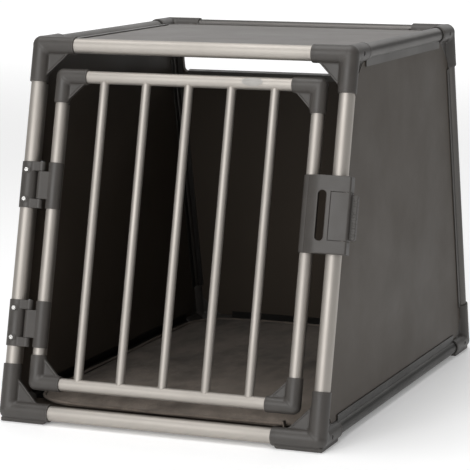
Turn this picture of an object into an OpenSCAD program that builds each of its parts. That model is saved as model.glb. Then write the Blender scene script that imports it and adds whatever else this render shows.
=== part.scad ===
// Dog transport crate with leaning ends: round aluminium tubes joined by moulded corner
// connectors, flat panels held in the tube channels, a barred front door on two hinges,
// a sprung slide latch and a plush mat on the floor.
//
// Width runs along X, depth along Y with the door at the low end, and Z is up.
// The origin is the middle of the whole outline, latch grip included, at the feet's level.

/* [Overall] */
// Width over the corner connectors
overall_w = 550; // [450:1:680]
// Depth over the corner connectors at the base
overall_d = 808; // [660:1:980]
// Height from the feet to the roof connectors
overall_h = 600; // [500:1:720]
// How far the front wall leans back between the base and the roof
front_lean = 136; // [60:1:170]
// How far the rear wall leans forward between the base and the roof
rear_lean = 129; // [60:1:170]

/* [Frame tubes] */
// Outside diameter of a frame tube
tube_d = 24; // [20:0.5:26]
// Wall of the frame and door tubes
tube_wall = 1.5; // [1:0.1:2]
// Thickness of each lip of a panel channel
lip_t = 1.5; // [1:0.1:2]
// Reach of a panel channel from the tube's axis
channel_reach = 23; // [20:0.5:28]
// Reach of the shallower channels at the sides of the rear panel
rear_channel_reach = 19; // [17:0.5:24]

/* [Corner connectors] */
// Outside diameter of a connector sleeve
sleeve_d = 29; // [28:0.5:34]
// How much the ball at each corner stands out past the sleeves
ball_out = 0.3; // [0.2:0.05:1]
// Length of a roof connector's arms from the corner
roof_arm = 60; // [55:1:75]
// Length of a base connector's arms from the corner
base_arm = 73; // [60:1:90]
// Depth that a frame tube enters its sleeve
socket_depth = 30; // [20:1:35]
// Reach of the gusset webs from the corner along each arm
gusset_reach = 48; // [40:1:54]
// Thickness of the gusset webs
gusset_t = 7; // [4:0.5:8]
// Chamfer at the mouth of each sleeve
sleeve_chamfer = 1; // [0.5:0.1:2]
// Height of the foot pads below the base sleeves
foot_h = 2.5; // [1:0.5:6]
// Width of the foot pads
foot_w = 18; // [12:1:24]

/* [Panels] */
// Thickness of the panels
panel_t = 8; // [5:0.5:8.5]
// Gap between a panel and each channel lip
panel_gap = 0.2; // [0.1:0.05:0.5]
// Gap between a panel's edge and the connectors
edge_gap = 0.5; // [0.3:0.1:1.5]
// Height of the open slot above the rear panel, from the roof rail's axis
rear_slot_h = 87; // [60:1:140]
// Corner radius of the open slot
rear_slot_r = 8; // [4:0.5:15]
// Width of rear panel that stays beside the open slot
rear_ear_w = 5.5; // [4:0.5:12]
// Wall of the trim on the rear panel's top edge
trim_wall = 1.5; // [1:0.1:2.5]
// Depth that the trim reaches down over the panel
trim_grip = 8; // [5:0.5:12]

/* [Mat] */
// Thickness of the mat
mat_t = 10; // [6:1:30]
// Corner radius of the mat
mat_r = 80; // [75:1:120]
// Gap between the mat and the frame around it
mat_gap = 3; // [2:0.5:15]

/* [Door] */
// Gap between the axes of the posts and the door's stiles
door_side_gap = 44.2; // [40:0.1:60]
// Gap between the axes of the base rail and the door's bottom rail
door_base_gap = 47; // [40:0.5:70]
// Gap between the axes of the roof rail and the door's top rail
door_roof_gap = 49.4; // [42:0.1:70]
// Outside diameter of a door tube
door_tube_d = 20; // [16:0.5:21]
// Reach of the door tubes' rear channel from the tube's axis
door_channel_reach = 17; // [14:0.5:20]
// Outside diameter of a door elbow's sleeve
elbow_d = 25; // [24:0.5:27]
// Length of a door elbow's arms from the corner
elbow_arm = 43; // [36:1:50]
// Depth that a door tube enters its elbow
elbow_socket = 24; // [16:1:28]
// Reach of the elbow gussets from the corner
elbow_gusset_reach = 37; // [30:1:42]
// Diameter of the upright bars
bar_d = 14.5; // [10:0.5:16]
// Depth that a bar enters the door rails
bar_entry = 4; // [2:0.5:6]

/* [Hinges] */
// Height of a hinge along the post
hinge_h = 74; // [60:1:90]
// Height of the upper hinge's middle along the post
upper_hinge_s = 358.6; // [330:0.1:420]
// Height of the lower hinge's middle along the post
lower_hinge_s = 138; // [120:0.1:180]
// Height of each bracket knuckle
knuckle_h = 14.5; // [10:0.5:18]
// Outside diameter of the knuckles
knuckle_d = 12; // [9:0.5:13]
// Distance of the hinge pins in front of the door's plane
pin_out = 5; // [3:0.5:7]
// Diameter of the hinge pins
pin_d = 6; // [4:0.5:7]
// Wall of the hinge clamps around the tubes
clamp_wall = 2; // [1.5:0.1:2.4]
// Height of the hinge screws above and below the hinge's middle
hinge_screw_s = 23.4; // [18:0.1:30]

/* [Latch] */
// Height of the latch cover along the post
latch_h = 119; // [100:1:140]
// Height of the latch's middle along the post
latch_s = 338.5; // [250:0.5:360]
// Reach of the latch cover past the right post's axis
latch_reach = 24; // [21:0.5:30]
// Height of the cover's crown in front of the door's plane
latch_crown = 21; // [20:0.5:26]
// Distance from the stile's axis to the cover's crown
crown_reach = 20.7; // [18:0.1:23]
// Wall of the latch cover
latch_wall = 2.4; // [1.8:0.1:3]
// Width of the finger slot
finger_w = 12.5; // [10:0.5:14]
// Height of the finger slot
finger_h = 76; // [50:1:84]
// Distance from the cover's crown to the middle of the finger slot
finger_out = 4; // [3:0.5:6]
// Distance of the slide window's edge inside the post's axis
window_side = 5.8; // [4:0.1:7]
// Drop of the finger slot and the slide below the cover's middle
slide_drop = 2; // [0:0.5:3]
// Height of the slide's window
slide_h = 74; // [50:1:84]
// Gap around the slide
slide_gap = 0.4; // [0.3:0.1:0.6]
// Travel of the slide
slide_travel = 10; // [6:0.5:11]
// Reach of the slide's grip past the cover
grip_reach = 9; // [5:0.5:14]
// Thickness of the slide's grip
grip_t = 9; // [6:0.5:10]
// How far the latch screws are turned round the stile, towards the rear
latch_screw_turn = 35; // [0:1:38]

/* [Screws] */
// Diameter of the screw shanks
screw_d = 4; // [3:0.5:5]
// Diameter of the screw heads
screw_head_d = 6.6; // [5:0.1:8]
// Height of the screw heads
screw_head_h = 2.6; // [2:0.1:4]
// Depth that the screws reach past the moulded wall they hold
screw_bite = 3; // [2:0.5:4]

/* [Fits] */
// Clearance between a tube and the sleeve, clamp or hole around it
tube_fit = 0.1; // [0.05:0.01:0.3]
// Clearance between a hinge pin and the turning leaf
pin_fit = 0.05; // [0.02:0.01:0.09]
// Clearance between a pin or screw and the part that holds it
seat_fit = 0.02; // [0.01:0.01:0.05]
// Gap between parts that move past each other
move_gap = 0.5; // [0.4:0.1:0.6]

/* [Hidden] */
$fn = 64;
hair = 0.01;

aluminium = "silver";
graphite = "dimgray";
steel = "gainsboro";

// Frame geometry
tube_r = tube_d / 2;
sleeve_r = sleeve_d / 2;
ball_r = sleeve_r + ball_out;
half_w = overall_w / 2 - ball_r;
cover_right = half_w + latch_reach;
mid_x = -(cover_right + grip_reach - overall_w / 2) / 2;
base_z = foot_h + sleeve_r;
roof_z = overall_h - ball_r;
rise = roof_z - base_z;
front_base_y = ball_r - overall_d / 2;
rear_base_y = overall_d / 2 - ball_r;
front_roof_y = front_base_y + front_lean;
rear_roof_y = rear_base_y - rear_lean;
front_angle = atan(front_lean / rise);
rear_angle = atan(rear_lean / rise);
front_post_l = rise / cos(front_angle);
rear_post_l = rise / cos(rear_angle);

// Channels and panels
slot_w = panel_t + 2 * panel_gap;
lip_out = slot_w / 2 + lip_t;
panel_inset = sleeve_r + edge_gap;
base_start = base_arm - socket_depth;
roof_start = roof_arm - socket_depth;

// Door geometry, in the plane of the front wall: x across, z up the post, y inwards
door_r = door_tube_d / 2;
stile_x = half_w - door_side_gap;
door_base_s = door_base_gap;
door_top_s = front_post_l - door_roof_gap;
elbow_r = elbow_d / 2;
elbow_start = elbow_arm - elbow_socket;
bar_count = 5;
bar_pitch = 2 * stile_x / (bar_count + 1);
pin_x = (half_w + stile_x) / 2;

// The upper hinge and the latch stay below the door's upper elbows
side_top_s = door_top_s - elbow_arm - move_gap;
upper_hinge_at = min(upper_hinge_s, side_top_s - hinge_h / 2);
latch_at = min(latch_s, side_top_s - latch_h / 2);

// Latch geometry, in the same plane
latch_lo = latch_at - latch_h / 2;
wrap_r = door_r + latch_wall;
bend_r = 33;
crown_x = stile_x + crown_reach;
flat_r = 240;
cover_back = -2;
slide_s = latch_at - slide_drop;
window_x = half_w - window_side;
post_room = tube_r + 1.6;
cap_t = 3;
past = 80;
finger_x = crown_x + finger_out;
strike_t = 1.2;
strike_h = 46;
strike_side = lip_out + 0.3;
nose_h = 36;
nose_y = 4;
flange_t = 1.8;
flange_side = 3;
flange_up = 3.5;
bridge_x = 2;
bridge_w = 8;
grip_r = 4;
grip_back = 3;
latch_side_s = latch_h / 2 - 11;
peg_d = 1.6;
peg_past = 0.9;
spring_x_low = stile_x + wrap_r + 3;
spring_x_high = window_x - flange_side + 0.5;
spring_y = -(flange_top(spring_x_high) - flange_t - peg_past);

// Height of the slide's flange, low enough for the cover's curve at the end of the travel
function flange_top(x) = latch_crown - latch_wall - slide_gap
    - pow(x + slide_travel - crown_x, 2) / (2 * flat_r);

// ---------------------------------------------------------------- placing

// Shared frame: x = 0 is the middle of the crate without its latch grip
module in_frame() {
    translate([mid_x, 0, 0]) children();
}

// Plane of the front wall: z runs up the post, y points inwards
module in_front() {
    in_frame() translate([0, front_base_y, base_z]) rotate([-front_angle, 0, 0]) children();
}

// Plane of the rear wall: z runs up the post, y points outwards
module in_rear() {
    in_frame() translate([0, rear_base_y, base_z]) rotate([rear_angle, 0, 0]) children();
}

// Turns a profile drawn with +y outwards to the plane's own y
module outwards() {
    mirror([0, 1, 0]) children();
}

// ---------------------------------------------------------------- tubes

// The two lips of a channel, as a profile that opens towards +x
module lips_2d(r, reach) {
    root = sqrt(pow(r - tube_wall / 2, 2) - pow(lip_out, 2));
    for (side = [-1, 1])
        translate([root, side * (slot_w + lip_t) / 2 - lip_t / 2])
            square([reach - root, lip_t]);
}

// Round tube along z from start to end, with channels between lip_start and lip_end.
// Each channel is [angle, reach].
module tube(r, start, end, lip_start, lip_end, channels) {
    translate([0, 0, start]) difference() {
        cylinder(r = r, h = end - start);
        translate([0, 0, -1]) cylinder(r = r - tube_wall, h = end - start + 2);
    }
    for (c = channels)
        rotate([0, 0, c[0]]) translate([0, 0, lip_start])
            linear_extrude(lip_end - lip_start) lips_2d(r, c[1]);
}

// Rail across the width. Angle 0 opens upwards, 90 towards the rear, 180 down.
module cross_rail(y, z, arm, channels) {
    in_frame() translate([-half_w, y, z]) rotate([0, 90, 0]) rotate([0, 0, 180])
        tube(tube_r, arm - socket_depth, 2 * half_w - arm + socket_depth,
            arm + edge_gap, 2 * half_w - arm - edge_gap,
            [for (c = channels) [-c[0], c[1]]]);
}

// Rail along one side, drawn for the left and mirrored for the right
module side_rail(side, y_low, y_high, z, arm, up) {
    span = y_high - y_low;
    in_frame() mirror([side > 0 ? 1 : 0, 0, 0]) translate([-half_w, y_low, z])
        rotate([-90, 0, 0])
            tube(tube_r, arm - socket_depth, span - arm + socket_depth,
                arm + edge_gap, span - arm - edge_gap,
                [[0, channel_reach], [up ? -90 : 90, channel_reach]]);
}

// Post in the plane it stands in, centred on x = 0
module post(length, channels) {
    tube(tube_r, base_start, length - roof_start,
        base_arm + edge_gap, length - roof_arm - edge_gap, channels);
}

module front_top_rail() {
    color(aluminium) cross_rail(front_roof_y, roof_z, roof_arm, [[90, channel_reach]]);
}

module rear_top_rail() {
    color(aluminium) cross_rail(rear_roof_y, roof_z, roof_arm, [[-90, channel_reach]]);
}

module front_base_rail() {
    color(aluminium) cross_rail(front_base_y, base_z, base_arm, [[90, channel_reach]]);
}

module rear_base_rail() {
    color(aluminium) cross_rail(rear_base_y, base_z, base_arm,
        [[-90, channel_reach], [-rear_angle, channel_reach]]);
}

module left_top_rail() {
    color(aluminium) side_rail(-1, front_roof_y, rear_roof_y, roof_z, roof_arm, false);
}

module right_top_rail() {
    color(aluminium) side_rail(1, front_roof_y, rear_roof_y, roof_z, roof_arm, false);
}

module left_base_rail() {
    color(aluminium) side_rail(-1, front_base_y, rear_base_y, base_z, base_arm, true);
}

module right_base_rail() {
    color(aluminium) side_rail(1, front_base_y, rear_base_y, base_z, base_arm, true);
}

// The left post also has the holes for the hinge screws
module left_front_post() {
    color(aluminium) in_front() difference() {
        translate([-half_w, 0, 0]) post(front_post_l, [[90, channel_reach]]);
        hinge_screw_places()
            translate([0, 0, -tube_r]) cylinder(d = screw_d + 2 * seat_fit, h = tube_r);
    }
}

module right_front_post() {
    color(aluminium) in_front() translate([half_w, 0, 0])
        post(front_post_l, [[90, channel_reach]]);
}

module left_rear_post() {
    color(aluminium) in_rear() translate([-half_w, 0, 0])
        post(rear_post_l, [[-90, channel_reach], [0, rear_channel_reach]]);
}

module right_rear_post() {
    color(aluminium) in_rear() translate([half_w, 0, 0])
        post(rear_post_l, [[-90, channel_reach], [180, rear_channel_reach]]);
}

// ---------------------------------------------------------------- connectors

// A sleeve along z from the corner, with a chamfered mouth
module sleeve(r, length) {
    cylinder(r = r, h = length - sleeve_chamfer);
    translate([0, 0, length - sleeve_chamfer])
        cylinder(r1 = r, r2 = r - sleeve_chamfer, h = sleeve_chamfer);
}

// Outline of a gusset between the arm along +x and an arm that leans past the
// perpendicular by the given angle; grow widens it for the cut in a panel
function gusset_points(r, reach, lean, grow) = [
    [0, 0],
    [reach + grow, 0],
    [reach + grow, r],
    [(reach + grow) * sin(lean) + r * cos(lean), (reach + grow) * cos(lean) - r * sin(lean)],
    [(reach + grow) * sin(lean), (reach + grow) * cos(lean)]
];

// A corner with arms along +x and +y and a third arm up that leans towards +y
module corner(lean, arm, foot) {
    difference() {
        union() {
            sphere(r = ball_r);
            rotate([0, 90, 0]) sleeve(sleeve_r, arm);
            rotate([-90, 0, 0]) sleeve(sleeve_r, arm);
            rotate([-lean, 0, 0]) sleeve(sleeve_r, arm);
            translate([0, 0, -gusset_t / 2]) linear_extrude(gusset_t)
                polygon(gusset_points(sleeve_r, gusset_reach, 0, 0));
            rotate([-lean, 0, 0]) translate([0, gusset_t / 2, 0]) rotate([90, 0, 0])
                linear_extrude(gusset_t)
                    polygon(gusset_points(sleeve_r, gusset_reach, 0, 0));
            translate([-gusset_t / 2, 0, 0]) rotate([90, 0, 90]) linear_extrude(gusset_t)
                polygon(gusset_points(sleeve_r, gusset_reach, lean, 0));
            if (foot) foot_pad(arm);
        }
        rotate([0, 90, 0]) socket(arm);
        rotate([-90, 0, 0]) socket(arm);
        rotate([-lean, 0, 0]) socket(arm);
    }
}

// The hole that takes a frame tube
module socket(arm) {
    translate([0, 0, arm - socket_depth]) cylinder(r = tube_r + tube_fit, h = socket_depth + 1);
}

// The flat pad under the two level arms of a base connector
module foot_pad(arm) {
    pad_l = arm - 6;
    low = -sleeve_r - foot_h;
    translate([0, 0, low]) cylinder(d = foot_w, h = sleeve_r);
    for (turn = [0, 90])
        rotate([0, 0, turn]) translate([0, foot_w / 2, 0]) rotate([90, 0, 0])
            linear_extrude(foot_w) polygon([
                [0, low], [pad_l - foot_h, low], [pad_l, low + foot_h],
                [pad_l, -tube_r - 1], [0, -tube_r - 1]
            ]);
}

// Places a connector at one of the eight corners of the frame
module place_corner(side, rear, roof) {
    angle = rear ? rear_angle : front_angle;
    y = roof ? (rear ? rear_roof_y : front_roof_y) : (rear ? rear_base_y : front_base_y);
    color(graphite) in_frame() translate([side * half_w, y, roof ? roof_z : base_z])
        mirror([side > 0 ? 1 : 0, 0, 0]) mirror([0, rear ? 1 : 0, 0])
            mirror([0, 0, roof ? 1 : 0])
                corner(roof ? -angle : angle, roof ? roof_arm : base_arm, !roof);
}

// ---------------------------------------------------------------- panels

// Cuts for the gussets at the two ends of a level edge of a panel
module gusset_cut(lean) {
    polygon(gusset_points(sleeve_r, gusset_reach, lean, 1.5 * edge_gap));
}

// A level rectangular panel with its corners cut back for the gussets
module level_panel(y_low, y_high, z) {
    middle = (y_low + y_high) / 2;
    half_d = (y_high - y_low) / 2;
    in_frame() translate([0, middle, z - panel_t / 2]) linear_extrude(panel_t) difference() {
        square([2 * (half_w - panel_inset), 2 * (half_d - panel_inset)], center = true);
        for (side = [0, 1], end = [0, 1])
            mirror([side, 0]) mirror([0, end]) translate([-half_w, -half_d]) gusset_cut(0);
    }
}

module roof_panel() {
    color(graphite) level_panel(front_roof_y, rear_roof_y, roof_z);
}

module floor_panel() {
    color(graphite) level_panel(front_base_y, rear_base_y, base_z);
}

// Distance in from a leaning edge at a height above the base rail's axis
function front_edge_y(h) = front_base_y + h * tan(front_angle) + panel_inset / cos(front_angle);
function rear_edge_y(h) = rear_base_y - h * tan(rear_angle) - panel_inset / cos(rear_angle);

// Side panel profile, drawn as y across and z up from the base rail's axis
module side_panel_2d() {
    low = panel_inset;
    high = rise - panel_inset;
    difference() {
        polygon([
            [front_edge_y(low), low], [rear_edge_y(low), low],
            [rear_edge_y(high), high], [front_edge_y(high), high]
        ]);
        translate([front_base_y, 0]) gusset_cut(front_angle);
        translate([rear_base_y, 0]) mirror([1, 0]) gusset_cut(rear_angle);
        translate([front_roof_y, rise]) mirror([0, 1]) gusset_cut(-front_angle);
        translate([rear_roof_y, rise]) mirror([1, 0]) mirror([0, 1]) gusset_cut(-rear_angle);
    }
}

module side_panel(x) {
    in_frame() translate([x - panel_t / 2, 0, base_z]) rotate([90, 0, 90])
        linear_extrude(panel_t) side_panel_2d();
}

module left_panel() {
    color(graphite) side_panel(-half_w);
}

module right_panel() {
    color(graphite) side_panel(half_w);
}

// Height of the rear panel's top edge and of the ears beside the open slot
rear_edge_s = rear_post_l - rear_slot_h;
rear_ear_s = rear_post_l - gusset_reach - 2 * edge_gap;
rear_half = half_w - panel_inset;
slot_half = rear_half - rear_ear_w;

// Open slot above the rear panel, with rounded lower corners
module rear_slot_2d() {
    translate([-slot_half, rear_edge_s + rear_slot_r]) square([2 * slot_half, rear_slot_h]);
    translate([rear_slot_r - slot_half, rear_edge_s])
        square([2 * (slot_half - rear_slot_r), rear_slot_h]);
    for (side = [-1, 1])
        translate([side * (slot_half - rear_slot_r), rear_edge_s + rear_slot_r])
            circle(r = rear_slot_r);
}

module rear_panel() {
    color(graphite) in_rear() translate([0, panel_t / 2, 0]) rotate([90, 0, 0])
        linear_extrude(panel_t) difference() {
            translate([-rear_half, panel_inset])
                square([2 * rear_half, rear_ear_s - panel_inset]);
            rear_slot_2d();
            for (side = [0, 1]) mirror([side, 0]) translate([-half_w, 0]) gusset_cut(0);
        }
}

// Trim that straddles the rear panel's top edge between the slot's round corners
module rear_panel_trim() {
    trim_l = 2 * (slot_half - rear_slot_r);
    out = panel_t / 2 + panel_gap / 2;
    color(graphite) in_rear() translate([-trim_l / 2, 0, rear_edge_s]) rotate([90, 0, 90])
        linear_extrude(trim_l) difference() {
            translate([-out - trim_wall, -trim_grip])
                square([2 * (out + trim_wall), trim_grip + 2 * trim_wall]);
            translate([-out, -trim_grip - 1]) square([2 * out, trim_grip + 1]);
        }
}

// ---------------------------------------------------------------- mat

module floor_mat() {
    half_mat_w = half_w - tube_r - mat_gap;
    half_mat_d = rear_base_y - channel_reach - mat_gap;
    color("dimgray") in_frame() translate([0, 0, base_z + lip_out])
        linear_extrude(mat_t) {
            square([2 * half_mat_w, 2 * (half_mat_d - mat_r)], center = true);
            square([2 * (half_mat_w - mat_r), 2 * half_mat_d], center = true);
            for (x = [-1, 1], y = [-1, 1])
                translate([x * (half_mat_w - mat_r), y * (half_mat_d - mat_r)]) circle(r = mat_r);
        }
}

// ---------------------------------------------------------------- door

// Door tube along z, with its channel facing into the crate
module door_tube(start, end, lip_start, lip_end) {
    tube(door_r, start, end, lip_start, lip_end, [[90, door_channel_reach]]);
}

module door_stile(x) {
    translate([x, 0, 0])
        door_tube(door_base_s + elbow_start, door_top_s - elbow_start,
            door_base_s + elbow_arm + edge_gap, door_top_s - elbow_arm - edge_gap);
}

module door_left_stile() {
    color(aluminium) in_front() door_stile(-stile_x);
}

module door_right_stile() {
    color(aluminium) in_front() difference() {
        door_stile(stile_x);
        latch_screw_places() cylinder(d = screw_d + 2 * seat_fit, h = wrap_r);
    }
}

// Rail of the door with a round hole for each bar; side is the way the bars go
module door_rail(s, side) {
    difference() {
        translate([-stile_x, 0, s]) rotate([0, 90, 0])
            door_tube(elbow_start, 2 * stile_x - elbow_start,
                elbow_arm + edge_gap, 2 * stile_x - elbow_arm - edge_gap);
        for (i = [1 : bar_count])
            translate([i * bar_pitch - stile_x, 0, s + (side > 0 ? 0 : -door_tube_d)])
                cylinder(d = bar_d + 2 * tube_fit, h = door_tube_d);
    }
}

module door_top_rail() {
    color(aluminium) in_front() door_rail(door_top_s, -1);
}

module door_bottom_rail() {
    color(aluminium) in_front() door_rail(door_base_s, 1);
}

module door_bar(i) {
    start = door_base_s + door_r - bar_entry;
    length = door_top_s - door_base_s - 2 * (door_r - bar_entry);
    color(aluminium) in_front() translate([i * bar_pitch - stile_x, 0, start]) difference() {
        cylinder(d = bar_d, h = length);
        translate([0, 0, -1]) cylinder(d = bar_d - 2 * tube_wall, h = length + 2);
    }
}

// Elbow with arms along +x and +z
module elbow() {
    difference() {
        union() {
            sphere(r = elbow_r + ball_out);
            rotate([0, 90, 0]) sleeve(elbow_r, elbow_arm);
            sleeve(elbow_r, elbow_arm);
            translate([0, gusset_t / 2, 0]) rotate([90, 0, 0]) linear_extrude(gusset_t)
                polygon(gusset_points(elbow_r, elbow_gusset_reach, 0, 0));
        }
        for (turn = [0, 90])
            rotate([0, turn, 0]) translate([0, 0, elbow_start])
                cylinder(r = door_r + tube_fit, h = elbow_socket + 1);
    }
}

module door_elbow(side, top) {
    color(graphite) in_front()
        translate([side * stile_x, 0, top ? door_top_s : door_base_s])
            mirror([side > 0 ? 1 : 0, 0, 0]) mirror([0, 0, top ? 1 : 0]) elbow();
}

// ---------------------------------------------------------------- hinges

// Places a hinge screw's frame: z points out of the wall, at the head's seat
module hinge_screw_places() {
    for (s = [lower_hinge_s, upper_hinge_at], up = [-1, 1])
        translate([-half_w, 0, s + up * hinge_screw_s]) rotate([90, 0, 0])
            translate([0, 0, tube_r + clamp_wall]) children();
}

// Clamp along z around a tube at the origin, open behind for the tube's channel
module clamp(r, height) {
    difference() {
        cylinder(r = r + clamp_wall, h = height);
        translate([0, 0, -1]) cylinder(r = r + tube_fit, h = height + 2);
        translate([-lip_out - move_gap, 0, -1])
            cube([2 * (lip_out + move_gap), 2 * r, height + 2]);
    }
}

// Web from a clamp to the pin, as thick as the knuckle; side is the way to the pin
module knuckle_web(side, r, height) {
    reach = half_w - pin_x;
    difference() {
        union() {
            translate([side * reach, -pin_out, 0]) cylinder(d = knuckle_d, h = height);
            translate([side > 0 ? 0 : -reach, -pin_out - knuckle_d / 2, 0])
                cube([reach, knuckle_d * 0.8, height]);
        }
        translate([0, 0, -1]) cylinder(r = r + clamp_wall / 2, h = height + 2);
    }
}

module hinge_bracket(s) {
    low = s - hinge_h / 2;
    color(graphite) in_front() difference() {
        translate([-half_w, 0, low]) {
            clamp(tube_r, hinge_h);
            for (z = [0, hinge_h - knuckle_h])
                translate([0, 0, z]) knuckle_web(1, tube_r, knuckle_h);
            for (up = [-1, 1])
                translate([0, 0, hinge_h / 2 + up * hinge_screw_s]) rotate([90, 0, 0])
                    translate([0, 0, tube_r + clamp_wall / 2])
                        cylinder(d = screw_head_d + 4, h = clamp_wall / 2);
        }
        translate([-pin_x, -pin_out, low - 1]) cylinder(d = pin_d + 2 * seat_fit, h = hinge_h + 2);
        hinge_screw_places()
            translate([0, 0, -tube_r]) cylinder(d = screw_d + 2 * seat_fit, h = tube_r + 1);
    }
}

module upper_hinge_bracket() {
    hinge_bracket(upper_hinge_at);
}

module lower_hinge_bracket() {
    hinge_bracket(lower_hinge_s);
}

module hinge_leaf(s) {
    low = s - hinge_h / 2;
    leaf_h = hinge_h - 2 * (knuckle_h + move_gap);
    color(graphite) in_front() difference() {
        translate([-stile_x, 0, low]) {
            clamp(door_r, hinge_h);
            translate([0, 0, knuckle_h + move_gap]) knuckle_web(-1, door_r, leaf_h);
        }
        translate([-pin_x, -pin_out, low - 1]) cylinder(d = pin_d + 2 * pin_fit, h = hinge_h + 2);
    }
}

module upper_hinge_leaf() {
    hinge_leaf(upper_hinge_at);
}

module lower_hinge_leaf() {
    hinge_leaf(lower_hinge_s);
}

// Two pins, each with a low head on top of its bracket
module hinge_pins() {
    head_h = 1.5;
    color(steel) in_front() for (s = [lower_hinge_s, upper_hinge_at])
        translate([-pin_x, -pin_out, s - hinge_h / 2]) {
            cylinder(d = pin_d, h = hinge_h + head_h);
            translate([0, 0, hinge_h]) cylinder(d = pin_d + 2.4, h = head_h);
        }
}

// Socket-head screw along z, with its head's seat at z = 0
module screw(length) {
    socket_d = screw_head_d * 0.5;
    difference() {
        union() {
            cylinder(d = screw_head_d, h = screw_head_h);
            translate([0, 0, -length]) cylinder(d = screw_d, h = length + hair);
        }
        translate([0, 0, screw_head_h * 0.4]) cylinder(d = socket_d, h = screw_head_h, $fn = 6);
    }
}

module hinge_screws() {
    color(steel) in_front() hinge_screw_places() screw(clamp_wall + screw_bite);
}

// ---------------------------------------------------------------- latch

// Places a latch screw's frame: z points to the stile's axis from the cover's wrap
module latch_screw_places() {
    for (up = [-1, 1])
        translate([stile_x, 0, latch_at + up * latch_side_s]) rotate([0, 0, -latch_screw_turn])
            translate([-wrap_r, 0, 0]) rotate([0, 90, 0]) children();
}

// Cover outline in front of the door, inset by t, with +y outwards
module cover_face_2d(t) {
    intersection() {
        translate([crown_x, latch_crown - bend_r]) circle(r = bend_r - t);
        translate([stile_x - wrap_r, cover_back]) square([crown_reach + wrap_r, past]);
    }
    intersection() {
        translate([crown_x, latch_crown - flat_r]) circle(r = flat_r - t, $fn = 200);
        translate([crown_x, cover_back]) square([cover_right - t - crown_x, past]);
    }
}

// Rounded upright slot along y, centred on x and z
module upright_slot(x, width, height, y_low, y_high) {
    for (up = [-1, 1])
        translate([x, y_high, slide_s + up * (height - width) / 2]) rotate([90, 0, 0])
            cylinder(d = width, h = y_high - y_low);
    translate([x - width / 2, y_low, slide_s - (height - width) / 2])
        cube([width, y_high - y_low, height - width]);
}

// The window for the slide, open to the right
module slide_window() {
    translate([window_x, -past, slide_s - slide_h / 2]) cube([past, past + post_room, slide_h]);
}

// Peg under the cover or the slide's flange that holds a loop of the spring
module spring_pegs(x, y_high) {
    for (up = [-1, 1])
        translate([x, spring_y + peg_past, latch_at + up * latch_side_s]) rotate([90, 0, 0])
            cylinder(d = peg_d, h = spring_y + peg_past - y_high);
}

module latch_cover() {
    color(graphite) in_front() {
        spring_pegs(spring_x_low, -latch_crown + 1);
        latch_shell();
    }
}

// The cover without its pegs: hollow, wrapped round the stile and open to the slide
module latch_shell() {
    difference() {
        translate([0, 0, latch_lo]) outwards() union() {
            linear_extrude(latch_h) {
                cover_face_2d(0);
                translate([stile_x, 0]) circle(r = wrap_r);
            }
        }
        outwards() translate([0, 0, latch_lo + cap_t]) linear_extrude(latch_h - 2 * cap_t)
            difference() {
                union() {
                    cover_face_2d(latch_wall);
                    translate([crown_x, cover_back - 8])
                        square([cover_right - latch_wall - crown_x, 12]);
                    translate([stile_x, cover_back - 8]) square([crown_reach, 12]);
                }
                translate([stile_x, 0]) circle(r = wrap_r);
            }
        translate([stile_x, 0, latch_lo - 1]) cylinder(r = door_r + tube_fit, h = latch_h + 2);
        translate([stile_x - lip_out - move_gap, 0, latch_lo - 1])
            cube([2 * (lip_out + move_gap), 2 * door_r, latch_h + 2]);
        translate([half_w, 0, latch_lo - 1]) cylinder(r = post_room, h = latch_h + 2);
        translate([half_w - post_room, 0, latch_lo - 1])
            cube([2 * post_room, post_room, latch_h + 2]);
        upright_slot(finger_x, finger_w, finger_h, -latch_crown - 5, -post_room + 1);
        slide_window();
        latch_screw_places() cylinder(d = screw_d + 2 * seat_fit, h = wrap_r);
    }
}

module latch_screws() {
    color(steel) in_front() latch_screw_places() mirror([0, 0, 1])
        screw(latch_wall + screw_bite);
}

// The slide: a plate flush with the cover, its side wall, the grip and the nose,
// and a flange that stays under the cover's wall
module latch_slide() {
    plate_h = slide_h - 2 * slide_gap;
    low = slide_s - plate_h / 2;
    nose_x = half_w + tube_r + strike_t + 2 * move_gap;
    flange_l = cover_right - latch_wall - slide_travel - move_gap - window_x + flange_side;
    color(graphite) in_front() {
        spring_pegs(spring_x_high, flange_t / 2 - flange_top(spring_x_high));
        slide_flange(flange_side + 4, latch_at - latch_side_s - 3, 2 * latch_side_s + 6);
        difference() {
            translate([0, 0, low]) outwards() linear_extrude(plate_h) difference() {
                intersection() {
                    cover_face_2d(0);
                    translate([window_x + slide_gap, 0]) square([past, past]);
                }
                translate([0, -hair]) cover_face_2d(latch_wall);
            }
            translate([half_w, 0, low - 1]) cylinder(r = post_room, h = plate_h + 2);
        }
        slide_flange(flange_l, low - flange_up, plate_h + 2 * flange_up);
        slide_bridge();
        slide_grip(low + slide_drop, plate_h - 2 * slide_drop);
        translate([nose_x, cover_back, slide_s - nose_h / 2])
            cube([cover_right - nose_x, nose_y - cover_back, nose_h]);
    }
}

// Outline of the flange's top, inset by t more
module flange_face_2d(t) {
    translate([crown_x - slide_travel, latch_crown - flat_r])
        circle(r = flat_r - latch_wall - slide_gap - t, $fn = 200);
}

// Layer under the cover's wall, taller than the window
module slide_flange(length, low, height) {
    translate([0, 0, low]) outwards() linear_extrude(height) difference() {
        intersection() {
            flange_face_2d(0);
            translate([window_x - flange_side, 0]) square([length, past]);
        }
        flange_face_2d(flange_t);
    }
}

// Block that joins the plate in the window to the flange under it
module slide_bridge() {
    translate([0, 0, slide_s - slide_h / 2 + bridge_x]) outwards()
        linear_extrude(slide_h - 2 * bridge_x)
        difference() {
            intersection() {
                cover_face_2d(latch_wall - hair);
                translate([window_x + bridge_x, 0]) square([bridge_w, past]);
            }
            flange_face_2d(hair);
        }
}

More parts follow.
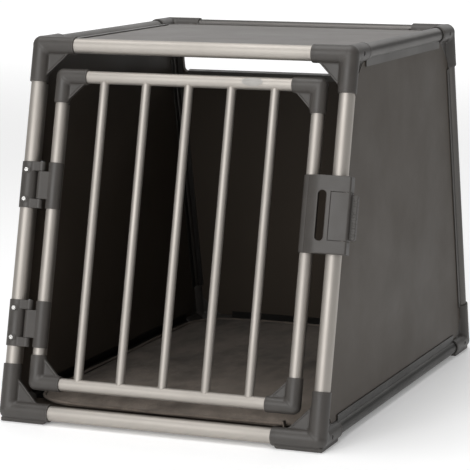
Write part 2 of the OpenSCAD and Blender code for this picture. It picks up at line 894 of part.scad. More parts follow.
// Grip that stands out to the right of the cover, with rounded outer corners
module slide_grip(low, height) {
    length = grip_reach + 1;
    translate([cover_right - 1, grip_back, low]) rotate([90, 0, 0]) linear_extrude(grip_t) {
        square([length - grip_r, height]);
        translate([0, grip_r]) square([length, height - 2 * grip_r]);
        for (z = [grip_r, height - grip_r]) translate([length - grip_r, z]) circle(r = grip_r);
    }
}

// Two close-wound tension springs that pull the slide back, with a loop at each end
module latch_spring() {
    wire_d = 0.7;
    coil_r = 1.4;
    loop_r = peg_d / 2 + seat_fit + wire_d / 2;
    start = spring_x_low + loop_r;
    length = spring_x_high - loop_r - start;
    turns = floor(length / wire_d);
    pitch = length / turns;
    color(steel) in_front() for (up = [-1, 1])
        translate([0, spring_y, latch_at + up * latch_side_s]) {
            translate([start, 0, 0]) rotate([0, 90, 0]) rotate_extrude() difference() {
                union() {
                    for (i = [0 : turns]) translate([coil_r, i * pitch]) circle(d = wire_d, $fn = 24);
                    translate([coil_r - wire_d / 4, 0]) square([wire_d / 2, length]);
                }
                translate([-coil_r, -wire_d]) square([coil_r, length + 2 * wire_d]);
            }
            for (x = [spring_x_low, spring_x_high]) translate([x, 0, 0]) rotate([90, 0, 0])
                rotate_extrude() translate([loop_r, 0]) circle(d = wire_d, $fn = 24);
        }
}

// Curved plate on the right post where the latch's nose sits
module strike_plate() {
    color(steel) in_front() translate([half_w, 0, slide_s - strike_h / 2]) difference() {
        cylinder(r = tube_r + strike_t, h = strike_h);
        translate([0, 0, -1]) cylinder(r = tube_r + seat_fit, h = strike_h + 2);
        translate([-2 * tube_r, -2 * tube_r, -1])
            cube([2 * tube_r + strike_side, 4 * tube_r, strike_h + 2]);
    }
}

// ---------------------------------------------------------------- assembly

front_top_rail();
rear_top_rail();
front_base_rail();
rear_base_rail();
left_top_rail();
right_top_rail();
left_base_rail();
right_base_rail();
left_front_post();
right_front_post();
left_rear_post();
right_rear_post();
place_corner(-1, false, true);  // corner_front_left_top
place_corner(1, false, true);  // corner_front_right_top
place_corner(-1, true, true);  // corner_rear_left_top
place_corner(1, true, true);  // corner_rear_right_top
place_corner(-1, false, false);  // corner_front_left_base
place_corner(1, false, false);  // corner_front_right_base
place_corner(-1, true, false);  // corner_rear_left_base
place_corner(1, true, false);  // corner_rear_right_base
roof_panel();
floor_panel();
left_panel();
right_panel();
rear_panel();
rear_panel_trim();
floor_mat();
upper_hinge_bracket();
lower_hinge_bracket();
hinge_pins();
hinge_screws();
strike_plate();
door_left_stile();
door_right_stile();
door_top_rail();
door_bottom_rail();
door_bar(1);  // door_bar_1
door_bar(2);  // door_bar_2
door_bar(3);  // door_bar_3
door_bar(4);  // door_bar_4
door_bar(5);  // door_bar_5
door_elbow(-1, true);  // door_elbow_left_top
door_elbow(1, true);  // door_elbow_right_top
door_elbow(-1, false);  // door_elbow_left_base
door_elbow(1, false);  // door_elbow_right_base
upper_hinge_leaf();
lower_hinge_leaf();
latch_cover();
latch_screws();
latch_spring();
latch_slide();
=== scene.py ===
import math

import bpy
import numpy as np
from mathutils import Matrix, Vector


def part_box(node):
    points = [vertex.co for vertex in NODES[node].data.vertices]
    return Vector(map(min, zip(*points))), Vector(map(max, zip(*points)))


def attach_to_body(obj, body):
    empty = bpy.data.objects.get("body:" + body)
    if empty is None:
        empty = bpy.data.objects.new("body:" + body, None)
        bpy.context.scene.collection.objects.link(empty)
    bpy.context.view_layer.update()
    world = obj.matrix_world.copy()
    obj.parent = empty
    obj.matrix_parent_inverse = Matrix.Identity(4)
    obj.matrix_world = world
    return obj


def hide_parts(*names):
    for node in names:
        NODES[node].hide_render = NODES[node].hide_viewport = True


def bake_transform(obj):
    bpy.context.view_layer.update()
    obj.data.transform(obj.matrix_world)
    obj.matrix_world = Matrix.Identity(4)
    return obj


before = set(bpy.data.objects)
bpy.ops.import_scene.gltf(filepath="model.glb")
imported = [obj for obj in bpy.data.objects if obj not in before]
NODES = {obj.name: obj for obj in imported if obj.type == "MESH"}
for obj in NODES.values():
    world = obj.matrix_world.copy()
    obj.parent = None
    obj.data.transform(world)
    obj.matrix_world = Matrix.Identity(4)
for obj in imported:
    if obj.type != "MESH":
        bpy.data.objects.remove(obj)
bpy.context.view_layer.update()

# ------------------------------------------------------------------ sizes, in millimetres

MM = 0.001
TUBE_R = 12.0
SLEEVE_R = 14.5
BALL_R = 14.8
ROOF_ARM = 60.0
BASE_ARM = 73.0
SOCKET = 30.0
GUSSET_REACH = 48.0
GUSSET_T = 7.0
FOOT_H = 2.5
FOOT_W = 18.0
FOOT_TOP = 11.0
FOOT_SHORT = 6.0
ARM_SCREW_AT = 25.0
ARM_SCREW_SINK = 1.1
ARM_SCREW_HOLE_R = 3.1
DOOR_R = 10.0
ELBOW_R = 12.5
ELBOW_ARM = 43.0
ELBOW_SOCKET = 24.0
ELBOW_GUSSET = 37.0
BAR_R = 7.25
LIP_OUT = 5.7
CLAMP_WALL = 2.0
KNUCKLE_H = 14.5
KNUCKLE_D = 12.0
PIN_OUT = 5.0
PIN_D = 6.0
SCREW_SEAT = 6.6
MOVE_GAP = 0.5
LATCH_WALL = 2.4
CROWN = 21.0
BEND_R = 33.0
FLAT_R = 240.0
FIT = 0.1

# Latch
COVER_BACK = -2.0
CAP_T = 3.0
CROWN_REACH = 20.7
WINDOW_SIDE = 5.8
POST_GAP = 1.6
FINGER_OUT = 4.0
BRIDGE_X = 2.0
BRIDGE_W = 8.0
SLIDE_DROP = 2.0
SLIDE_H = 74.0
SLIDE_GAP = 0.4
FINGER_W, FINGER_H = 12.5, 76.0
TRAVEL = 10.0
STRIKE_T = 1.2
FLANGE_T = 1.8
FLANGE_SIDE = 3.0
FLANGE_UP = 3.5
GRIP_R = 4.0
GRIP_T = 9.0
GRIP_BACK = 3.0
NOSE_H = 36.0
NOSE_Y = 4.0
WIRE_R = 0.35
COIL_R = 1.4
LOOP_R = 1.2
SPRING_TURNS = 17
SPRING_FROM_END = 11.0
SPRING_PEG_UP = 0.9

# Door badge and mat tag, by their places across the front
BADGE_X = 108.5
BADGE_HALF_W, BADGE_HALF_H = 17.5, 7.5
TAG_X = 187.0
TAG_H = 11.0

# Steps of the surface nets
CORNER_STEP = 1.15
ELBOW_STEP = 1.0
HINGE_STEP = 0.85
COVER_STEP = 0.95
SLIDE_STEP = 0.8
MAT_STEP = 6.0


def points(name):
    """A CAD node's vertices at rest, in millimetres."""
    mesh = NODES[name].data
    flat = np.empty(len(mesh.vertices) * 3, np.float32)
    mesh.vertices.foreach_get("co", flat)
    return flat.reshape(-1, 3).astype(float) * 1000


def span(name, axis):
    p = points(name)[:, axis]
    return p.min(), p.max()


def middle(name, axis):
    return sum(span(name, axis)) / 2


left_x = middle("left_front_post", 0)
right_x = middle("right_front_post", 0)
mid_x = (left_x + right_x) / 2
half_w = (right_x - left_x) / 2
base_z = middle("front_base_rail", 2)
roof_z = middle("front_top_rail", 2)
front_base_y = span("front_base_rail", 1)[0] + TUBE_R
front_roof_y = span("front_top_rail", 1)[0] + TUBE_R
rear_base_y = span("rear_base_rail", 1)[1] - TUBE_R
rear_roof_y = span("rear_top_rail", 1)[1] - TUBE_R
rise = roof_z - base_z
front_lean = math.atan2(front_roof_y - front_base_y, rise)
rear_lean = math.atan2(rear_base_y - rear_roof_y, rise)


class Plane:
    """A leaning wall's own frame: x across, y level with the lean inwards, z up the post."""

    def __init__(self, y, lean):
        self.origin = np.array([mid_x, y, base_z])
        c, s = math.cos(lean), math.sin(lean)
        self.axes = np.array([[1, 0, 0], [0, c, -s], [0, s, c]])

    def out(self, p):
        return np.asarray(p, float) @ self.axes + self.origin

    def back(self, p):
        return (np.asarray(p, float) - self.origin) @ self.axes.T

    def span(self, name, axis):
        p = self.back(points(name))[:, axis]
        return p.min(), p.max()

    def middle(self, name, axis):
        return sum(self.span(name, axis)) / 2


front = Plane(front_base_y, front_lean)
stile_x = front.middle("door_right_stile", 0)
door_low = front.middle("door_bottom_rail", 2)
door_high = front.middle("door_top_rail", 2)
pin_x = (half_w + stile_x) / 2

# ------------------------------------------------------------------ solid shapes as distances


def smin(a, b, k):
    h = np.clip(0.5 + 0.5 * (b - a) / np.maximum(k, 1e-6), 0, 1)
    return b + (a - b) * h - k * h * (1 - h)


def smax(a, b, k):
    return -smin(-a, -b, k)


def rod(p, axis, r, start, end, k=1.0):
    """Capped round bar along a unit axis from the origin."""
    t = p @ axis
    across = np.sqrt(np.maximum((p * p).sum(1) - t * t, 1e-12)) - r
    return smax(across, np.maximum(start - t, t - end), k)


def halves(p2, corners):
    """Distance to a convex outline given anticlockwise, as the furthest of its edges."""
    d = None
    for a, b in zip(corners, corners[1:] + corners[:1]):
        e = np.array(b, float) - np.array(a, float)
        n = np.array([e[1], -e[0]]) / np.hypot(*e)
        side = (p2 - np.array(a, float)) @ n
        d = side if d is None else np.maximum(d, side)
    return d


def surface(f, low, high, step, rounds=3):
    """Surface nets of f = 0, with each vertex moved onto the surface afterwards."""
    low, high = np.asarray(low, float), np.asarray(high, float)
    n = np.ceil((high - low) / step).astype(int) + 3
    axes = [low[i] - step + step * np.arange(n[i]) for i in range(3)]
    grid = np.stack(np.meshgrid(*axes, indexing="ij"), -1)
    d = f(grid.reshape(-1, 3)).reshape(n)
    inside = d < 0
    cells = n - 1
    total = np.zeros((*cells, 3))
    number = np.zeros(cells)
    crossing = {}
    for a in range(3):
        b, c = (a + 1) % 3, (a + 2) % 3
        lo = [slice(None)] * 3
        hi = [slice(None)] * 3
        lo[a], hi[a] = slice(0, -1), slice(1, None)
        d0, d1 = d[tuple(lo)], d[tuple(hi)]
        m = inside[tuple(lo)] != inside[tuple(hi)]
        t = np.where(m, d0 / np.where(m, d0 - d1, 1), 0)
        place = grid[tuple(lo)].copy()
        place[..., a] += t * step
        crossing[a] = (m, inside[tuple(lo)])
        for u in (0, 1):
            for v in (0, 1):
                part = [slice(None)] * 3
                part[b] = slice(u, u + cells[b])
                part[c] = slice(v, v + cells[c])
                part = tuple(part)
                total += place[part] * m[part][..., None]
                number += m[part]
    active = number > 0
    index = np.full(cells, -1)
    index[active] = np.arange(active.sum())
    v = total[active] / number[active][:, None]
    quads = []
    for a in range(3):
        b, c = (a + 1) % 3, (a + 2) % 3
        m, first = crossing[a]
        inner = [slice(None)] * 3
        inner[b] = slice(1, -1)
        inner[c] = slice(1, -1)
        where = np.argwhere(m[tuple(inner)])
        where[:, b] += 1
        where[:, c] += 1

        def cell(du, dv):
            w = where.copy()
            w[:, b] -= du
            w[:, c] -= dv
            return index[tuple(w.T)]

        q = np.stack([cell(1, 1), cell(0, 1), cell(0, 0), cell(1, 0)], 1)
        out = first[tuple(where.T)]
        quads.append(np.where(out[:, None], q, q[:, ::-1]))
    q = np.vstack(quads)
    for _ in range(rounds):
        g = slope(f, v)
        value = np.clip(f(v), -0.5 * step, 0.5 * step)
        v -= g * (value / np.maximum((g * g).sum(1), 0.2))[:, None]
    return v, q


def slope(f, v, eps=0.04):
    g = np.empty_like(v)
    for i in range(3):
        e = np.zeros(3)
        e[i] = eps
        g[:, i] = (f(v + e) - f(v - e)) / (2 * eps)
    return g


# ------------------------------------------------------------------ meshes


def new_mesh(name, vertices, faces, material, normals=None, smooth=True):
    """A mesh object from points in millimetres in the world's frame."""
    mesh = bpy.data.meshes.new(name)
    v = np.asarray(vertices, float) * MM
    f = np.asarray(faces)
    mesh.vertices.add(len(v))
    mesh.vertices.foreach_set("co", v.astype(np.float32).ravel())
    size = f.shape[1]
    mesh.loops.add(f.size)
    mesh.loops.foreach_set("vertex_index", f.astype(np.int32).ravel())
    mesh.polygons.add(len(f))
    mesh.polygons.foreach_set("loop_start", np.arange(0, f.size, size, dtype=np.int32))
    mesh.update(calc_edges=True)
    mesh.validate()
    mesh.polygons.foreach_set("use_smooth", np.full(len(mesh.polygons), smooth))
    if normals is not None and len(mesh.vertices) == len(v):
        mesh.normals_split_custom_set_from_vertices(normals.tolist())
    mesh.materials.append(material)
    obj = bpy.data.objects.new(name, mesh)
    bpy.context.scene.collection.objects.link(obj)
    return obj


def lathe(profile, sides=72, closed=True):
    """Points and quads of a profile of (radius, height) turned about z."""
    n = len(profile)
    turn = np.arange(sides) * 2 * math.pi / sides
    pr = np.asarray(profile, float)
    v = np.stack(
        [
            np.outer(np.cos(turn), pr[:, 0]),
            np.outer(np.sin(turn), pr[:, 0]),
            np.tile(pr[:, 1], (sides, 1)),
        ],
        -1,
    ).reshape(-1, 3)
    faces = []
    last = n if closed else n - 1
    for i in range(sides):
        for k in range(last):
            j, m = (i + 1) % sides, (k + 1) % n
            faces.append((i * n + k, j * n + k, j * n + m, i * n + m))
    return v, np.array(faces)


def turned(axis, v):
    """Points drawn about z, moved to be about another unit axis."""
    q = Vector((0, 0, 1)).rotation_difference(Vector(axis))
    return v @ np.array(q.to_matrix()).T


def joined(parts):
    """Several (points, faces) as one."""
    vs, fs, base = [], [], 0
    for v, f in parts:
        vs.append(v)
        fs.append(f + base)
        base += len(v)
    return np.vstack(vs), np.vstack(fs)


def bead(radius, height, wide, proud, sides=72):
    """A rounded raised ring on a sleeve, as a closed profile."""
    steps = [math.pi * i / 6 for i in range(7)]
    arc = [(radius + proud * math.sin(a), height - wide / 2 * math.cos(a)) for a in steps]
    foot = radius - 0.5
    return lathe([(foot, height - wide / 2), *arc, (foot, height + wide / 2)], sides)


def facing(faces, even):
    """Faces turned round where the points are mirrored an odd number of times."""
    return faces if even else faces[:, ::-1]


def attach(obj, body, slot, *nodes):
    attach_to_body(obj, body)
    if nodes:
        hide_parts(*nodes)
    return obj


# ------------------------------------------------------------------ materials


class Finish:
    """A node material around one Principled shader."""

    def __init__(self, name, color, roughness, metallic=0.0):
        self.mat = bpy.data.materials.new(name)
        self.mat.use_nodes = True
        self.tree = self.mat.node_tree
        self.shader = self.tree.nodes["Principled BSDF"]
        self.shader.inputs["Metallic"].default_value = metallic
        self.color, self.roughness = color, roughness
        self.place = self.add("ShaderNodeTexCoord").outputs["Object"]

    def add(self, kind, **values):
        node = self.tree.nodes.new(kind)
        for key, value in values.items():
            setattr(node, key, value)
        return node

    def link(self, a, b):
        self.tree.links.new(a, b)

    def turned(self, rotation):
        m = self.add("ShaderNodeMapping")
        m.inputs["Rotation"].default_value = rotation
        self.link(self.place, m.inputs["Vector"])
        return m.outputs["Vector"]

    def noise(self, scale, detail=3.0, rough=0.5, stretch=(1, 1, 1), source=None):
        m = self.add("ShaderNodeMapping")
        m.inputs["Scale"].default_value = stretch
        self.link(source or self.place, m.inputs["Vector"])
        n = self.add("ShaderNodeTexNoise")
        n.inputs["Scale"].default_value = scale
        n.inputs["Detail"].default_value = detail
        n.inputs["Roughness"].default_value = rough
        self.link(m.outputs["Vector"], n.inputs["Vector"])
        return n.outputs["Fac"]

    def spread(self, value, low, high, from_low=0.3, from_high=0.7):
        m = self.add("ShaderNodeMapRange")
        m.inputs["From Min"].default_value = from_low
        m.inputs["From Max"].default_value = from_high
        m.inputs["To Min"].default_value = low
        m.inputs["To Max"].default_value = high
        self.link(value, m.inputs["Value"])
        return m.outputs["Result"]

    def mix(self, factor, a, b):
        m = self.add("ShaderNodeMix", data_type="RGBA")
        for value, socket in ((a, m.inputs[6]), (b, m.inputs[7])):
            if isinstance(value, bpy.types.NodeSocket):
                self.link(value, socket)
            else:
                socket.default_value = (*value, 1)
        self.link(factor, m.inputs[0])
        return m.outputs[2]

    def tinted(self, factor, share):
        """The colour, lighter and darker by a share."""
        dark = [c * (1 - share) for c in self.color]
        light = [min(1, c * (1 + share)) for c in self.color]
        return self.mix(factor, dark, light)

    def edges(self, color, amount):
        """The colour with worn, lighter convex edges, and painted shade darkening the hollows."""
        point = self.add("ShaderNodeNewGeometry").outputs["Pointiness"]
        ridge = self.spread(point, 0, amount, 0.52, 0.62)
        worn = self.mix(ridge, color, [min(1, c * 2.2 + 0.02) for c in self.color])
        # Painted shade: hollows darkened to 0.45 of the colour.
        hollow = self.spread(point, 0.55, 0, 0.40, 0.49)
        return self.mix(hollow, worn, [c * 0.45 for c in self.color])

    def bumped(self, height, strength, distance, normal=None):
        b = self.add("ShaderNodeBump")
        b.inputs["Strength"].default_value = strength
        b.inputs["Distance"].default_value = distance
        self.link(height, b.inputs["Height"])
        if normal is not None:
            self.link(normal, b.inputs["Normal"])
        return b.outputs["Normal"]

    def done(self, color, rough=None, normal=None):
        self.link(color, self.shader.inputs["Base Color"])
        if rough is None:
            self.shader.inputs["Roughness"].default_value = self.roughness
        else:
            self.link(rough, self.shader.inputs["Roughness"])
        if normal is not None:
            self.link(normal, self.shader.inputs["Normal"])
        return self.mat


def brushed(name, color, roughness, rotation):
    """Satin anodised metal with fine lines along one axis."""
    f = Finish(name, color, roughness, metallic=1.0)
    along = f.turned(rotation)
    lines = f.noise(900, 2, 0.6, (1, 1, 0.012), along)
    soft = f.noise(7, 3, 0.55)
    tone = f.tinted(f.spread(lines, 0, 1, 0.25, 0.75), 0.035)
    cloudy = f.mix(f.spread(soft, 0, 0.5), tone, [c * 0.93 for c in color])
    rough = f.spread(soft, roughness - 0.03, roughness + 0.06)
    return f.done(cloudy, rough, f.bumped(lines, 0.10, 0.0001))


def moulded(name, color, roughness, grain=0.16):
    """Graphite plastic with a fine spark-eroded grain."""
    f = Finish(name, color, roughness)
    fine = f.noise(2200, 2, 0.6)
    blotch = f.noise(38, 4, 0.6)
    tone = f.edges(f.tinted(f.spread(blotch, 0, 1), 0.10), 0.35)
    rough = f.spread(blotch, roughness - 0.05, roughness + 0.07)
    return f.done(tone, rough, f.bumped(fine, grain, 0.00012))


def panelled(name, color, roughness, specular=0.17):
    """Smooth coated panel with a slight orange peel."""
    f = Finish(name, color, roughness)
    peel = f.noise(420, 2, 0.5)
    cloud = f.noise(3.2, 4, 0.55)
    tone = f.tinted(f.spread(cloud, 0, 1), 0.06)
    rough = f.spread(f.noise(9, 5, 0.6), roughness - 0.04, roughness + 0.06)
    f.shader.inputs["Specular IOR Level"].default_value = specular
    return f.done(tone, rough, f.bumped(peel, 0.05, 0.0002))


def machined(name, color, roughness):
    f = Finish(name, color, roughness, metallic=1.0)
    fine = f.noise(1400, 3, 0.6)
    tone = f.tinted(f.spread(fine, 0, 1), 0.05)
    return f.done(tone, f.spread(fine, roughness - 0.05, roughness + 0.08))


def pile(name, color, roughness, scale=900):
    """Short plush pile: matted tufts with a soft sheen."""
    f = Finish(name, color, roughness)
    tuft = f.noise(scale, 3, 0.65)
    brushed_way = f.noise(20, 5, 0.62, (1, 0.55, 1))
    patch = f.noise(7, 3, 0.55, (1, 0.6, 1))
    mottled = f.tinted(f.spread(tuft, 0, 1, 0.35, 0.65), 0.30)
    lay = f.mix(f.spread(brushed_way, 0, 0.9, 0.38, 0.62), mottled, [c * 0.5 for c in color])
    lay = f.mix(f.spread(patch, 0, 0.45, 0.4, 0.62), lay, [c * 1.45 for c in color])
    normal = f.bumped(tuft, 0.65, 0.0012)
    normal = f.bumped(brushed_way, 0.5, 0.005, normal)
    f.shader.inputs["Specular IOR Level"].default_value = 0.05
    f.shader.inputs["Sheen Weight"].default_value = 0.06
    f.shader.inputs["Sheen Roughness"].default_value = 0.45
    return f.done(lay, None, normal)


ANODISED = (0.465, 0.435, 0.400)
ALONG_X = (0, math.radians(90), 0)
ALONG_Y = (math.radians(90), 0, 0)
tube_x = brushed("anodised_across", ANODISED, 0.56, ALONG_X)
# Side, base and rear tubes are the front tubes' aluminium painted darker. This is painted shade and
# painted dark reflection, standing in for the dim surroundings these tubes face.
tube_y_painted_shade = brushed("anodised_lengthwise_painted_shade", (0.10, 0.095, 0.089), 0.42, ALONG_Y)
tube_low_painted_shade = brushed("anodised_shaded", (0.045, 0.043, 0.040), 0.42, ALONG_Y)
tube_front = brushed("anodised_front", ANODISED, 0.56, (front_lean, 0, 0))
tube_rear_painted_shade = brushed("anodised_rear_painted_shade", (0.12, 0.114, 0.108), 0.42, (-rear_lean, 0, 0))
plastic = moulded("graphite_moulded", (0.050, 0.045, 0.0405), 0.46)
enamel = moulded("badge_enamel", (0.34, 0.325, 0.305), 0.4)
panel = panelled("graphite_coated", (0.0645, 0.0525, 0.0415), 0.46)
# The roof's own lighter copy of the graphite panel paint: painted light standing in for the light
# falling on its top.
roof_panel = panelled("graphite_roof_painted_light", (0.098, 0.087, 0.079), 0.40, 0.34)
steel = machined("bright_steel", (0.80, 0.79, 0.77), 0.24)
dark_steel = machined("blackened_steel", (0.10, 0.10, 0.10), 0.38)
plush = pile("plush_pile", (0.225, 0.190, 0.160), 0.9)
piping_cloth = pile("piping_cloth", (0.215, 0.180, 0.152), 0.85, 1500)


def paint(name, material):
    slots = NODES[name].material_slots
    for s in slots:
        s.material = material
    if not slots:
        NODES[name].data.materials.append(material)


for name in NODES:
    if name == "roof_panel":
        paint(name, roof_panel)
    elif name.endswith("_panel"):
        paint(name, panel)
    elif name in ("front_top_rail", "front_base_rail", "door_top_rail", "door_bottom_rail"):
        paint(name, tube_x)
    elif name.startswith(("left_front", "right_front", "door_left", "door_right", "door_bar")):
        paint(name, tube_front)
    elif name.endswith("_rear_post"):
        paint(name, tube_rear_painted_shade)
    elif name in ("rear_top_rail", "rear_base_rail"):
        paint(name, tube_rear_painted_shade)
    elif name.endswith("_base_rail"):
        paint(name, tube_low_painted_shade)
    elif name.startswith(("left_", "right_")):
        paint(name, tube_y_painted_shade)
    elif name in ("latch_screws", "hinge_pins"):
        paint(name, dark_steel)
    elif name in ("hinge_screws", "strike_plate", "latch_spring"):
        paint(name, steel)
    else:
        paint(name, plastic)

# ------------------------------------------------------------------ corner connectors


def plate_outline(r, reach, lean):
    c, s = math.cos(lean), math.sin(lean)
    return [
        (0, 0),
        (reach, 0),
        (reach, r),
        (reach * s + r * c, reach * c - r * s),
        (reach * s, reach * c),
    ]


def gusset(p, u, v, n, r, reach, lean, t):
    """A web between arms along u and v + lean, with a shallow recess in each face."""
    flat = np.stack([p @ u, p @ v], 1)
    outline = halves(flat, plate_outline(r, reach, lean))
    side = np.abs(p @ n)
    body = smax(outline, side - t / 2, 1.2)
    inset = halves(flat, plate_outline(r, reach, lean)[:2] + plate_outline(r, reach, lean)[2:])
    pocket = smax(inset + 2.6, t / 2 - 0.9 - side, 0.8)
    return smax(body, -pocket, 0.8)


X, Y, Z = np.eye(3)


def connector(arm, lean, foot):
    """Distance to a connector with arms along +x, +y and up, the last leaning towards +y."""
    up = np.array([0, math.sin(lean), math.cos(lean)])
    away = np.array([0, math.cos(lean), -math.sin(lean)])
    arms = (X, Y, up)

    def f(p):
        along = [p @ a for a in arms]
        rods = [rod(p, a, SLEEVE_R, 0, arm, 1.2) for a in arms]

        def near(i, j):
            return np.clip(np.minimum(along[i], along[j]) / 9, 0, 1)

        d = smin(rods[0], rods[1], 5 * near(0, 1))
        d = smin(d, rods[2], 5 * np.maximum(near(0, 2), near(1, 2)))
        d = np.minimum(d, np.sqrt((p * p).sum(1)) - BALL_R)
        webs = gusset(p, X, Y, Z, SLEEVE_R, GUSSET_REACH, 0, GUSSET_T)
        webs = smin(webs, gusset(p, X, up, away, SLEEVE_R, GUSSET_REACH, 0, GUSSET_T), 1.5)
        webs = smin(webs, gusset(p, Y, Z, X, SLEEVE_R, GUSSET_REACH, lean, GUSSET_T), 1.5)
        d = smin(d, webs, 3.0)
        if foot:
            low = -SLEEVE_R - FOOT_H
            for a, b in ((X, Y), (Y, X)):
                t, s = p @ a, p @ b
                pad = np.maximum(np.abs(s) - FOOT_W / 2, low - p[:, 2])
                pad = np.maximum(pad, p[:, 2] + FOOT_TOP)
                slant = ((t - (arm - FOOT_SHORT)) + (low - p[:, 2]) + FOOT_H) / math.sqrt(2)
                ends = np.maximum(-FOOT_W / 2 - t, t - arm + FOOT_SHORT)
                pad = smax(np.maximum(pad, ends), slant, 0.5)
                d = smin(d, pad, 0.8)
            d = np.maximum(d, low - p[:, 2])
        for a in arms:
            d = smax(d, -rod(p, a, TUBE_R + FIT, arm - SOCKET, arm + 20, 0.3), 0.6)
        screw = p - np.array([0, ARM_SCREW_AT, 0])
        hole = rod(screw, -X, ARM_SCREW_HOLE_R, SLEEVE_R - 1.9, 30, 0.3)
        return smax(d, -hole, 0.5)

    return f


def socket_screw(head_r, head_h, recess_r):
    """A socket head about z with its top at z = 0, the socket drawn as a round bore."""
    return lathe(
        [
            (0.02, -recess_r * 0.9),
            (recess_r * 0.92, -recess_r * 0.9),
            (recess_r, -0.25),
            (recess_r + 0.2, 0.0),
            (head_r - 0.35, 0.0),
            (head_r, -0.35),
            (head_r, -head_h),
            (0.02, -head_h),
        ],
        48,
    )


def build_corners():
    made = {}
    for rear in (False, True):
        for roof in (False, True):
            lean = rear_lean if rear else front_lean
            lean = -lean if roof else lean
            arm = ROOF_ARM if roof else BASE_ARM
            f = connector(arm, lean, not roof)
            reach = arm + 3
            low = (-BALL_R - 1, -BALL_R - 1 + min(0, arm * math.sin(lean)), -BALL_R - FOOT_H - 1)
            v, q = surface(f, low, (reach, reach, reach), CORNER_STEP)
            up = (0, math.sin(lean), math.cos(lean))
            rings = []
            for a in ((1, 0, 0), (0, 1, 0), up):
                for back, proud in ((3.4, 0.20), (6.2, 0.14)):
                    rv, rf = bead(SLEEVE_R, arm - back, 1.0, proud)
                    rings.append((turned(a, rv), rf))
            sv, sf = socket_screw(2.7, 2.0, 1.25)
            sv = turned((-1, 0, 0), sv) + np.array([-SLEEVE_R + ARM_SCREW_SINK, ARM_SCREW_AT, 0])
            made[rear, roof] = (v, q, slope(f, v), rings, (sv, sf))
    for (rear, roof), (v, q, g, rings, screw) in made.items():
        y = (rear_roof_y if roof else rear_base_y) if rear else (
            front_roof_y if roof else front_base_y
        )
        z = roof_z if roof else base_z
        for side in (-1, 1):
            flip = np.array([-side, -1 if rear else 1, -1 if roof else 1], float)
            even = flip.prod() > 0
            place = np.array([mid_x + side * half_w, y, z])
            words = ("rear" if rear else "front", "left" if side < 0 else "right")
            tag = "_".join(words) + ("_top" if roof else "_base")
            quads = facing(q, even)
            normals = g * flip
            obj = new_mesh("connector_" + tag, v * flip + place, quads, plastic, normals)
            attach(obj, "frame", "graphite_plastic", "corner_" + tag)
            rv, rf = joined(rings)
            ring = new_mesh(
                "collar_lines_" + tag, rv * flip + place, facing(rf, even), plastic
            )
            attach(ring, "frame", "graphite_plastic")
            sv, sf = screw
            head = new_mesh(
                "connector_screw_" + tag, sv * flip + place, facing(sf, even), dark_steel
            )
            attach(head, "frame", "steel")


# ------------------------------------------------------------------ door elbows


def elbow(p):
    along = np.minimum(p @ X, p @ Z)
    d = smin(
        rod(p, X, ELBOW_R, 0, ELBOW_ARM, 1.2),
        rod(p, Z, ELBOW_R, 0, ELBOW_ARM, 1.2),
        5 * np.clip(along / 8, 0, 1),
    )
    d = np.minimum(d, np.sqrt((p * p).sum(1)) - ELBOW_R)
    d = smin(d, gusset(p, X, Z, Y, ELBOW_R, ELBOW_GUSSET, 0, GUSSET_T), 3.0)
    for a in (X, Z):
        hole = rod(p, a, DOOR_R + FIT, ELBOW_ARM - ELBOW_SOCKET, ELBOW_ARM + 20, 0.3)
        d = smax(d, -hole, 0.6)
    return d


def build_elbows():
    reach = ELBOW_ARM + 3
    v, q = surface(elbow, (-ELBOW_R - 1,) * 3, (reach, ELBOW_R + 1, reach), ELBOW_STEP)
    g = slope(elbow, v)
    rings = []
    for a in ((1, 0, 0), (0, 0, 1)):
        for back, proud in ((3.2, 0.22), (5.6, 0.16), (8.0, 0.10)):
            rv, rf = bead(ELBOW_R, ELBOW_ARM - back, 0.9, proud, 64)
            rings.append((turned(a, rv), rf))
    rv, rf = joined(rings)
    for side in (-1, 1):
        for top in (False, True):
            flip = np.array([-side, 1, -1 if top else 1], float)
            even = flip.prod() > 0
            place = np.array([side * stile_x, 0, door_high if top else door_low])
            tag = ("left" if side < 0 else "right") + ("_top" if top else "_base")
            obj = new_mesh(
                "elbow_" + tag,
                front.out(v * flip + place),
                facing(q, even),
                plastic,
                (g * flip) @ front.axes,
            )
            attach(obj, "door", "graphite_plastic", "door_elbow_" + tag)
            ring = new_mesh(
                "elbow_lines_" + tag,
                front.out(rv * flip + place),
                facing(rf, even),
                plastic,
            )
            attach(ring, "door", "graphite_plastic")


# ------------------------------------------------------------------ hinges

screws_high = front.span("hinge_screws", 2)[1]
screw_rise = screws_high - SCREW_SEAT / 2 - front.middle("upper_hinge_bracket", 2)


def clamp(p, r, low, high):
    """C-shaped clamp about z, open behind for the tube's channel."""
    across = np.hypot(p[:, 0], p[:, 1])
    d = smax(across - r - CLAMP_WALL, np.maximum(low - p[:, 2], p[:, 2] - high), 1.0)
    d = smax(d, -(across - r - FIT), 0.5)
    cut = np.maximum(np.abs(p[:, 0]) - LIP_OUT - MOVE_GAP, -p[:, 1])
    return smax(d, -cut, 0.6)


def knuckle(p, side, r, low, high):
    """Barrel on the pin and the web that joins it to a clamp."""
    reach = half_w - pin_x
    q = p - np.array([side * reach, -PIN_OUT, 0])
    barrel = np.hypot(q[:, 0], q[:, 1]) - KNUCKLE_D / 2
    thick = KNUCKLE_D * 0.8
    centre = np.array([side * reach / 2, -PIN_OUT - KNUCKLE_D / 2 + thick / 2])
    web = np.maximum(
        np.abs(p[:, 0] - centre[0]) - reach / 2, np.abs(p[:, 1] - centre[1]) - thick / 2
    )
    d = smin(barrel, web, 0.6)
    d = smax(d, np.maximum(low - p[:, 2], p[:, 2] - high), 1.0)
    return smax(d, -(np.hypot(p[:, 0], p[:, 1]) - r - CLAMP_WALL / 2), 0.3)


